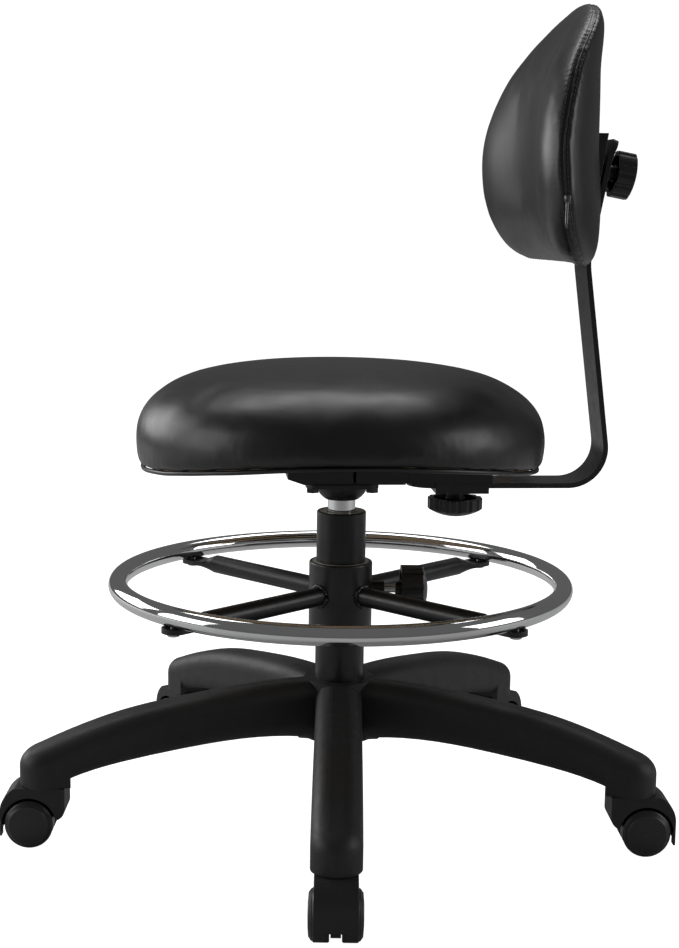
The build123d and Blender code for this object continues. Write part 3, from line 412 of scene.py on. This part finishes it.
def apply_modifier(piece, kind, **settings):
    """Add one modifier, take its result as the mesh, and remove it."""
    modifier = piece.modifiers.new(kind.lower(), kind)
    for key, value in settings.items():
        setattr(modifier, key, value)
    evaluated = piece.evaluated_get(bpy.context.evaluated_depsgraph_get())
    mesh = bpy.data.meshes.new_from_object(evaluated)
    piece.modifiers.remove(modifier)
    piece.data = mesh
    mesh.polygons.foreach_set("use_smooth", [True] * len(mesh.polygons))
    return piece


def inflate(piece, held, pressure, cap, frames=20):
    """Fill a closed cover with air by cloth simulation, holding some vertices, and keep the result.

    No vertex travels further than cap.
    """
    start = coordinates(piece.data)
    group = piece.vertex_groups.new(name="held")
    group.add([int(i) for i in np.flatnonzero(held)], 1.0, "REPLACE")
    modifier = piece.modifiers.new("cloth", "CLOTH")
    cloth = modifier.settings
    cloth.quality = 6
    cloth.mass = 0.25
    cloth.tension_stiffness = 12
    cloth.compression_stiffness = 12
    cloth.shear_stiffness = 6
    cloth.bending_stiffness = 0.8
    cloth.use_pressure = True
    cloth.uniform_pressure_force = pressure
    cloth.vertex_group_mass = "held"
    cloth.effector_weights.gravity = 0
    modifier.collision_settings.use_collision = False
    for step in range(1, frames + 1):
        bpy.context.scene.frame_set(step)
    evaluated = piece.evaluated_get(bpy.context.evaluated_depsgraph_get())
    end = coordinates(evaluated.data)
    piece.modifiers.remove(modifier)
    piece.vertex_groups.clear()
    travel = end - start
    length = np.linalg.norm(travel, axis=1, keepdims=True) + 1e-9
    set_coordinates(piece.data, start + travel / length * cap * np.tanh(length / cap))
    bpy.context.scene.frame_set(1)
    return piece


def smooth_free(piece, free, iterations):
    """Smooth some of the vertices and leave the others where they are."""
    group = piece.vertex_groups.new(name="free")
    group.add([int(i) for i in np.flatnonzero(free)], 1.0, "REPLACE")
    apply_modifier(piece, "SMOOTH", factor=0.5, iterations=iterations, vertex_group="free")
    piece.vertex_groups.clear()


def tube(path, radius, sides, closed=True, lumps=0.0):
    """Vertices and faces of a tube along a list of points; lumps makes its thickness uneven."""
    count = len(path)
    vertices = []
    for index, point in enumerate(path):
        before = path[index - 1] if closed or index else path[index]
        after = path[(index + 1) % count] if closed or index < count - 1 else path[index]
        along = (after - before).normalized()
        side = along.cross(Vector((0, 0, 1)))
        side = side.normalized() if side.length > 1e-6 else Vector((1, 0, 0))
        up = side.cross(along).normalized()
        thick = radius * (1 + lumps * noise.noise(point * 400.0))
        for k in range(sides):
            turn = 2 * math.pi * k / sides
            vertices.append(point + (side * math.cos(turn) + up * math.sin(turn)) * thick)
    faces = ring_faces(count, sides, closed_ends=False)
    if closed:
        last = (count - 1) * sides
        faces += [(last + k, last + (k + 1) % sides, (k + 1) % sides, k) for k in range(sides)]
    else:
        faces.append(tuple(reversed(range(sides))))
        faces.append(tuple(range((count - 1) * sides, count * sides)))
    return vertices, faces


class Collector:
    """Gathers many small shapes into one mesh."""

    def __init__(self):
        self.vertices = []
        self.faces = []

    def add(self, vertices, faces):
        offset = len(self.vertices)
        self.vertices += list(vertices)
        self.faces += [tuple(i + offset for i in face) for face in faces]

    def block(self, centre, along, across, up, length, width, height):
        """A brick with chamfered ends, such as a zipper tooth."""
        corners = []
        for a, scale in ((-0.5, 0.7), (-0.3, 1.0), (0.3, 1.0), (0.5, 0.7)):
            for b, c in ((-0.5, -0.5), (0.5, -0.5), (0.5, 0.5), (-0.5, 0.5)):
                sideways = across * (b * width * scale)
                corners.append(centre + along * (a * length) + sideways + up * (c * height * scale))
        faces = ring_faces(4, 4, closed_ends=False)
        faces += [(3, 2, 1, 0), (12, 13, 14, 15)]
        self.add(corners, faces)

    def stitch(self, start, end, lift, radius):
        """One thread stitch: a short bent capsule that dips into the cover at both ends."""
        path = []
        for k in range(5):
            share = k / 4
            path.append(start.lerp(end, share) + lift * (math.sin(math.pi * share) * 1.3 - 0.6) * radius)
        self.add(*tube(path, radius, 6, closed=False))

    def piece(self, name, material):
        return new_piece(name, self.vertices, self.faces, material)


# ---------------------------------------------------------------- seat
def lip_height(y):
    """Height of the piping's middle at a distance y in front of or behind the seat's centre."""
    return BOARD_CROWN + PIPING_RADIUS - BOARD_BEND + np.sqrt(BOARD_BEND**2 - y * y)


LIP_LOWEST = lip_height(LIP_RADIUS)


def lip_point(turn, radius=LIP_RADIUS):
    """A point of the piping's centre line."""
    x = radius * math.cos(turn)
    y = radius * math.sin(turn)
    return Vector((x, y, lip_height(y))) + SEAT_CENTRE


def seat_cover():
    """Closed form of the seat cover: domed top, full side and an underside that follows the board."""
    around = 160
    rings = []
    lower = 8
    side = 14
    top = 26
    for k in range(6):
        rings.append(("under", (k + 1) / 7))
    rings += [("lower", k / lower) for k in range(lower)]
    rings += [("side", k / (side + top)) for k in range(side + top)]
    vertices = []
    for kind, share in rings:
        for i in range(around):
            turn = 2 * math.pi * i / around
            lip = lip_point(turn)
            waist = SEAT_WAIST + 0.3 * (lip.z - LIP_LOWEST)
            if kind == "under":
                r = LIP_RADIUS * share
                z = lip_height(r * math.sin(turn)) + COVER_GAUGE
            elif kind == "lower":
                angle = share * math.pi / 2
                r = LIP_RADIUS + (SEAT_RADIUS - LIP_RADIUS) * math.sin(angle)
                z = waist - (waist - lip.z - COVER_GAUGE) * math.cos(angle)
            else:
                angle = share * math.pi / 2
                r = SEAT_RADIUS * math.cos(angle) ** (2 / 2.8)
                z = waist + (SEAT_CROWN - SEAT_SLACK - waist) * math.sin(angle) ** (2 / 2.6)
            vertices.append(Vector((r * math.cos(turn), r * math.sin(turn), z)) + SEAT_CENTRE)
    vertices.append(Vector((0, 0, lip_height(0) + COVER_GAUGE)) + SEAT_CENTRE)
    vertices.append(Vector((0, 0, SEAT_CROWN - SEAT_SLACK)) + SEAT_CENTRE)
    return new_piece("seat_upholstery", vertices, ring_faces(len(rings), around), FINISHES["vinyl"])


def pull_creases(piece, centre, radius):
    """Short slanting creases where the cover is pulled down to the piping."""
    points = coordinates(piece.data)
    flat = points - np.array(centre)
    turn = np.arctan2(flat[:, 1], flat[:, 0])
    reach = np.hypot(flat[:, 0], flat[:, 1])
    height = points[:, 2] - lip_height(np.clip(flat[:, 1], -radius, radius))
    near = np.exp(-((height - 7 * MM) / (9 * MM)) ** 2) * (reach > radius - 12 * MM)
    strength = 0.35 + 0.65 * np.abs(np.sin(turn)) ** 6
    wander = np.array([noise.noise(Vector((math.cos(t) * 9, math.sin(t) * 9, 0.3))) for t in turn])
    phase = turn * 130 + height * 260 + wander * 9
    ridges = np.abs(np.sin(phase)) ** 0.6 - 0.5
    depth = 0.55 * MM * near * strength * ridges * (0.4 + np.abs(wander) * 1.6)
    outward = np.stack([np.cos(turn), np.sin(turn), 0 * turn], axis=1)
    set_coordinates(piece.data, points + outward * depth[:, None])


def make_seat():
    cover = seat_cover()
    apply_modifier(cover, "REMESH", mode="VOXEL", voxel_size=REMESH_SIZE)
    points = coordinates(cover.data) - np.array(SEAT_CENTRE)
    above = points[:, 2] - lip_height(np.clip(points[:, 1], -LIP_RADIUS, LIP_RADIUS))
    inflate(cover, above < 5 * MM, pressure=CLOTH_PRESSURE, cap=2.5 * MM)
    smooth_free(cover, above > 14 * MM, 30)
    apply_modifier(cover, "SMOOTH", factor=0.5, iterations=3)
    apply_modifier(cover, "SUBSURF", levels=1)
    pull_creases(cover, SEAT_CENTRE, LIP_RADIUS)
    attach(cover, "seat")
    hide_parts("seat_cushion")

    around = 240
    path = []
    for k in range(around):
        turn = 2 * math.pi * k / around
        wander = noise.noise(Vector((math.cos(turn) * 6, math.sin(turn) * 6, 1.7))) * 0.5 * MM
        path.append(lip_point(turn) + Vector((0, 0, wander)))
    piping = new_piece("seat_piping_cord", *tube(path, PIPING_RADIUS, 10), FINISHES["vinyl"])
    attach(piping, "seat")
    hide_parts("seat_piping")

    # staples that hold the cover's turned-in edge under the board
    staples = Collector()
    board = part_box("seat_board")
    staple_radius = (board[1].x - board[0].x) / 2 - STAPLE_INSET
    for k in range(STAPLE_COUNT):
        turn = 2 * math.pi * (k + 0.5) / STAPLE_COUNT
        y = staple_radius * math.sin(turn)
        height = lip_height(y) - PIPING_RADIUS - 0.15 * MM
        centre = Vector((staple_radius * math.cos(turn), y, height)) + SEAT_CENTRE
        around_dir = Vector((-math.sin(turn), math.cos(turn), 0))
        outward = Vector((math.cos(turn), math.sin(turn), 0))
        staples.block(centre, around_dir, outward, Vector((0, 0, 1)), 9 * MM, 1.1 * MM, 0.7 * MM)
    row = staples.piece("seat_staples", FINISHES["steel"])
    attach(row, "seat")


# ---------------------------------------------------------------- backrest
def back_outline(turn, margin=0.0):
    """Point of the backrest's outline in the front view, taken from its widest height.

    The top is half an ellipse; below it a short straight side turns into the flat foot.
    """
    half = BACK_HALF_WIDTH - margin
    if turn <= math.pi:
        return half * math.cos(turn), (BACK_TOP - BACK_WIDEST - margin) * math.sin(turn)
    corner = BACK_CORNER - margin
    straight = BACK_WIDEST - BACK_BOTTOM - BACK_CORNER
    arc = corner * math.pi / 2
    way = (1 - abs(2 * turn / math.pi - 3)) * (straight + arc + half - corner)
    if way < straight:
        x, z = half, -way
    elif way < straight + arc:
        bend = (way - straight) / corner
        x, z = half - corner + corner * math.cos(bend), -straight - corner * math.sin(bend)
    else:
        x, z = half - corner - (way - straight - arc), -straight - corner
    return math.copysign(x, turn - 1.5 * math.pi), z


def eased(share):
    """Smooth step from 0 to 1."""
    share = min(1.0, max(0.0, share))
    return share * share * (3 - 2 * share)


def back_middle(z):
    """Where the rear face stands in the middle at a height: fuller low down and at the top."""
    full_low = eased((BACK_BOTTOM + 120 * MM - z) / (70 * MM))
    full_high = eased((z - BACK_TOP + 72 * MM) / (65 * MM))
    return BACK_REAR + 1.5 * MM + 4 * MM * full_low + 8 * MM * full_high


def back_point(x, z, depth):
    """A point of the backrest, depth in front of its rear face, which is wrapped around the sitter."""
    lean = math.sqrt(max(0.0, 1 - (x / BACK_WRAP) ** 2))
    y = back_middle(z) - BACK_WRAP * (1 - lean)
    return Vector((x - depth * x / BACK_WRAP, y - depth * lean, z))


def back_cover():
    """Closed form of the backrest's cover: nearly flat behind, crowned in front, joined at the seam."""
    around = 176
    front = 30
    rear = 16
    bulge = BACK_THICKNESS - 4 * MM - SEAM_DEPTH
    vertices = []
    rings = [("rear", (k + 1) / (rear + 1)) for k in range(rear)]
    rings += [("front", 1 - k / front) for k in range(front)]
    for kind, share in rings:
        reach = math.sin(share * math.pi / 2)
        if kind == "rear":
            reach = reach ** 0.8
        if kind == "rear":
            depth = SEAM_DEPTH * (1 - (1 - min(reach, 1) ** 6) ** 0.5)
        else:
            depth = SEAM_DEPTH + bulge * (1 - min(reach, 1) ** 6.5) ** 0.5
        for i in range(around):
            turn = 2 * math.pi * i / around
            x, z = back_outline(turn, -COVER_OVERLAP)
            vertices.append(back_point(x * reach, BACK_WIDEST + z * reach, depth))
    vertices.append(back_point(0, BACK_WIDEST, 0))
    vertices.append(back_point(0, BACK_WIDEST, SEAM_DEPTH + bulge))
    return new_piece("back_upholstery", vertices, ring_faces(len(rings), around), FINISHES["vinyl"])


def seam_path(count, shift=0.0):
    """Points along the backrest's seam; shift moves them towards the front."""
    path = []
    for k in range(count):
        x, z = back_outline(2 * math.pi * k / count)
        path.append(back_point(x, BACK_WIDEST + z, SEAM_DEPTH + shift))
    return path


def evenly(path, pitch):
    """Points at an even pitch along a closed path, with the direction of travel at each."""
    found = []
    left = 0.0
    count = len(path)
    for k in range(count):
        start, end = path[k], path[(k + 1) % count]
        length = (end - start).length
        while left < length:
            found.append((start.lerp(end, left / length), (end - start).normalized()))
            left += pitch
        left -= length
    return found


def tuck_seam(piece, path, depth, width):
    """Draw the cover in along the seam, and pucker it in front of the seam."""
    points = coordinates(piece.data)
    line = np.array(path)
    middle = np.array([0.0, float(np.mean(line[:, 1])), float(BACK_WIDEST)])
    for start in range(0, len(points), CHUNK):
        part = points[start:start + CHUNK]
        away = np.linalg.norm(part[:, None, :] - line[None, :, :], axis=2)
        nearest = away.argmin(axis=1)
        gap = away.min(axis=1)
        inward = middle - line[nearest]
        inward[:, 1] = 0
        inward /= np.linalg.norm(inward, axis=1, keepdims=True) + 1e-9
        pucker = 0.5 + 0.5 * np.sin(nearest * 2 * math.pi / 5.0)
        ahead = (line[nearest][:, 1] - part[:, 1]) > 1 * MM
        groove = depth * np.exp(-(gap / width) ** 2)
        ripples = 0.35 * MM * pucker * np.exp(-((gap - 7 * MM) / (6 * MM)) ** 2) * ahead
        part += inward * (groove + ripples)[:, None]
    set_coordinates(piece.data, points)


def press_bracket(piece):
    """Press the rear of the cover in to the bracket's plate, so that the plate lies on it."""
    bracket = coordinates(frame["nodes"]["back_bracket"].data)
    low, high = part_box("back_bracket")
    foot = bracket[bracket[:, 2] < low.z + 1 * MM][:, 1].min()
    head = bracket[bracket[:, 2] > high.z - 1 * MM][:, 1].min()
    points = coordinates(piece.data)
    for point in points:
        beside = abs(point[0]) - high.x - 2 * MM
        outside = max(beside, low.z - 3 * MM - point[2], point[2] - high.z - 3 * MM)
        plate = foot + (head - foot) * (point[2] - low.z) / (high.z - low.z) - 0.4 * MM
        if point[1] > plate and outside < 7 * MM:
            point[1] -= (point[1] - plate) * eased(1 - outside / (7 * MM))
    set_coordinates(piece.data, points)


def make_backrest():
    cover = back_cover()
    apply_modifier(cover, "REMESH", mode="VOXEL", voxel_size=REMESH_SIZE)
    line = np.array(seam_path(420))
    points = coordinates(cover.data)
    gap = np.zeros(len(points))
    for start in range(0, len(points), CHUNK):
        part = points[start:start + CHUNK]
        away = np.linalg.norm(part[:, None, :] - line[None, :, :], axis=2)
        gap[start:start + CHUNK] = away.min(axis=1)
    rear = np.array([back_point(x, z, 0).y - y < 6 * MM for x, y, z in points])
    inflate(cover, (gap < 6 * MM) | rear, pressure=CLOTH_PRESSURE, cap=7 * MM)
    smooth_free(cover, (gap > 9 * MM) & ~rear, 25)
    apply_modifier(cover, "SMOOTH", factor=0.5, iterations=3)
    apply_modifier(cover, "SUBSURF", levels=1)
    tuck_seam(cover, seam_path(900), 1.6 * MM, 3.0 * MM)
    press_bracket(cover)
    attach(cover, "backrest")
    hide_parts("back_cushion")
    surface = BVHTree.FromObject(cover, bpy.context.evaluated_depsgraph_get())
    make_back_seam(surface)
    make_back_stitching(surface)
    make_zipper(surface)


def on_cover(surface, point):
    """Nearest point of the cover and the outward direction there."""
    place, outward, _, _ = surface.find_nearest(point)
    return place, outward


def make_back_seam(surface):
    """Thin rolled welt where the front and rear panels meet."""
    path = [on_cover(surface, p)[0] for p in seam_path(420)]
    welt = new_piece("back_seam", *tube(path, 0.9 * MM, 8, lumps=0.15), FINISHES["vinyl"])
    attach(welt, "backrest")


def make_back_stitching(surface):
    """Two rows of stitches, one on each side of the seam."""
    rows = Collector()
    for shift in (-3.2 * MM, 4.0 * MM):
        for place, along in evenly(seam_path(600, shift), STITCH_PITCH):
            start, outward = on_cover(surface, place - along * STITCH_LENGTH / 2)
            end, _ = on_cover(surface, place + along * STITCH_LENGTH / 2)
            rows.stitch(start, end, outward, 0.35 * MM)
    stitches = rows.piece("back_stitching", THREAD)
    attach(stitches, "backrest")


def make_zipper(surface):
    """Closed zipper along the lower part of the seam, with its slider and pull at the near end."""
    teeth = Collector()
    tape = []
    for place, along in evenly(seam_path(900, -1.0 * MM), TOOTH_PITCH):
        if place.z > BACK_BOTTOM + ZIPPER_RISE:
            continue
        spot, outward = on_cover(surface, place)
        across = along.cross(outward).normalized()
        for half in (-1, 1):
            teeth.block(spot + outward * 0.5 * MM + across * half * 0.8 * MM + along * half * 0.5 * MM,
                        across, along, outward, 2.2 * MM, 0.9 * MM, 1.1 * MM)
        tape.append((spot, outward, along, across))
    row = teeth.piece("zipper_teeth", ZIPPER)
    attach(row, "backrest")

    slider = Collector()
    near_end = max((t for t in tape if t[0].x > 0), key=lambda t: t[0].z)
    spot, outward, along, across = near_end
    slider.block(spot + outward * 2.0 * MM, along, across, outward, 9 * MM, 6 * MM, 3.0 * MM)
    hang = [spot + outward * 4.0 * MM + Vector((0, 0, -1)) * (k * 5 * MM) for k in range(6)]
    slider.add(*tube(hang, 1.3 * MM, 8, closed=False))
    pull = slider.piece("zipper_pull", ZIPPER)
    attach(pull, "backrest")


# ---------------------------------------------------------------- metalwork
def bead_ring(centre, along, radius, thickness, name_seed):
    """Lumpy weld bead around a tube's end."""
    side = along.cross(Vector((0, 0, 1))).normalized()
    up = side.cross(along)
    path = []
    count = 56
    for k in range(count):
        turn = 2 * math.pi * k / count
        ripple = 1 + 0.035 * math.sin(turn * 13 + name_seed)
        path.append(centre + (side * math.cos(turn) + up * math.sin(turn)) * radius * ripple)
    return tube(path, thickness, 8, lumps=0.35)


def make_weld_beads():
    """Welds of the foot ring's spokes to its sleeve."""
    sleeve_low, sleeve_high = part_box("footring_sleeve")
    sleeve_radius = (sleeve_high.x - sleeve_low.x) / 2
    spokes_low, spokes_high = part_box("footring_spokes")
    tube_radius = (spokes_high.z - spokes_low.z) / 2
    spoke_z = (spokes_high.z + spokes_low.z) / 2
    screw_points = coordinates(frame["nodes"]["footring_screws"].data)
    corner = screw_points[np.argmax(screw_points[:, 0] + screw_points[:, 1])]
    first = math.atan2(corner[1], corner[0])
    beads = Collector()
    for k in range(4):
        turn = first + k * math.pi / 2
        along = Vector((math.cos(turn), math.sin(turn), 0))
        centre = along * (sleeve_radius - 0.3 * MM) + Vector((0, 0, spoke_z))
        beads.add(*bead_ring(centre, along, tube_radius + 0.6 * MM, 2.0 * MM, k))
    piece = beads.piece("spoke_welds", FINISHES["black_steel"])
    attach(piece, "footring")


# ---------------------------------------------------------------- studio
def add_light(name, place, aim, size, power):
    """Rectangular soft box that faces a point."""
    data = bpy.data.lights.new(name, "AREA")
    data.shape = "RECTANGLE"
    data.size = size[0]
    data.size_y = size[1]
    data.energy = power
    lamp = bpy.data.objects.new(name, data)
    bpy.context.scene.collection.objects.link(lamp)
    lamp.location = place
    lamp.rotation_euler = (Vector(aim) - Vector(place)).to_track_quat("-Z", "Y").to_euler()


def make_studio():
    """White floor, white surroundings and large soft boxes."""
    bpy.context.scene.view_settings.view_transform = "Standard"
    corners = [(x * FLOOR_REACH, y * FLOOR_REACH, 0) for x, y in ((-1, -1), (1, -1), (1, 1), (-1, 1))]
    floor = new_piece("studio_floor", corners, [(0, 1, 2, 3)], floor_paint(), smooth=False)

    world = bpy.data.worlds.new("studio")
    world.use_nodes = True
    bpy.context.scene.world = world
    tree = world.node_tree
    sky = tree.nodes["Background"]
    sky.inputs["Color"].default_value = (0.11, 0.11, 0.11, 1)
    white = tree.nodes.new("ShaderNodeBackground")
    white.inputs["Color"].default_value = (1, 1, 1, 1)
    white.inputs["Strength"].default_value = 1.05
    rays = tree.nodes.new("ShaderNodeLightPath")
    choice = tree.nodes.new("ShaderNodeMixShader")
    tree.links.new(rays.outputs["Is Camera Ray"], choice.inputs["Fac"])
    tree.links.new(sky.outputs["Background"], choice.inputs[1])
    tree.links.new(white.outputs["Background"], choice.inputs[2])
    tree.links.new(choice.outputs["Shader"], tree.nodes["World Output"].inputs["Surface"])

    add_light("overhead", (-1.3, 0.0, 2.9), (0, 0, 0.4), (3.0, 1.0), 34)
    add_light("left_box", (0.3, -3.0, 1.1), (0, 0, 0.5), (1.6, 1.8), 22)
    add_light("right_box", (0.8, 2.9, 1.3), (0, 0, 0.5), (1.6, 1.8), 23)
    add_light("far_box", (-2.0, -2.5, 1.3), (0, 0.1, 0.6), (2.0, 1.6), 34)


def make_camera():
    """Camera at the side of the chair, looking slightly down."""
    data = bpy.data.cameras.new("camera")
    data.sensor_fit = "VERTICAL"
    data.sensor_height = CAMERA_SENSOR
    data.sensor_width = CAMERA_SENSOR
    data.lens = CAMERA_LENS
    data.shift_x = CAMERA_SHIFT
    data.clip_end = 100.0
    camera = bpy.data.objects.new("camera", data)
    bpy.context.scene.collection.objects.link(camera)
    camera.location = CAMERA_PLACE
    level = math.cos(CAMERA_DIP)
    forward = Vector((-level * math.cos(CAMERA_HEADING), level * math.sin(CAMERA_HEADING),
                      -math.sin(CAMERA_DIP)))
    camera.rotation_mode = "QUATERNION"
    upright = forward.to_track_quat("-Z", "Y")
    camera.rotation_quaternion = Quaternion(forward, -CAMERA_ROLL) @ upright
    bpy.context.scene.camera = camera


finish_cad_nodes()
make_seat()
make_backrest()
make_weld_beads()
make_studio()
make_camera()
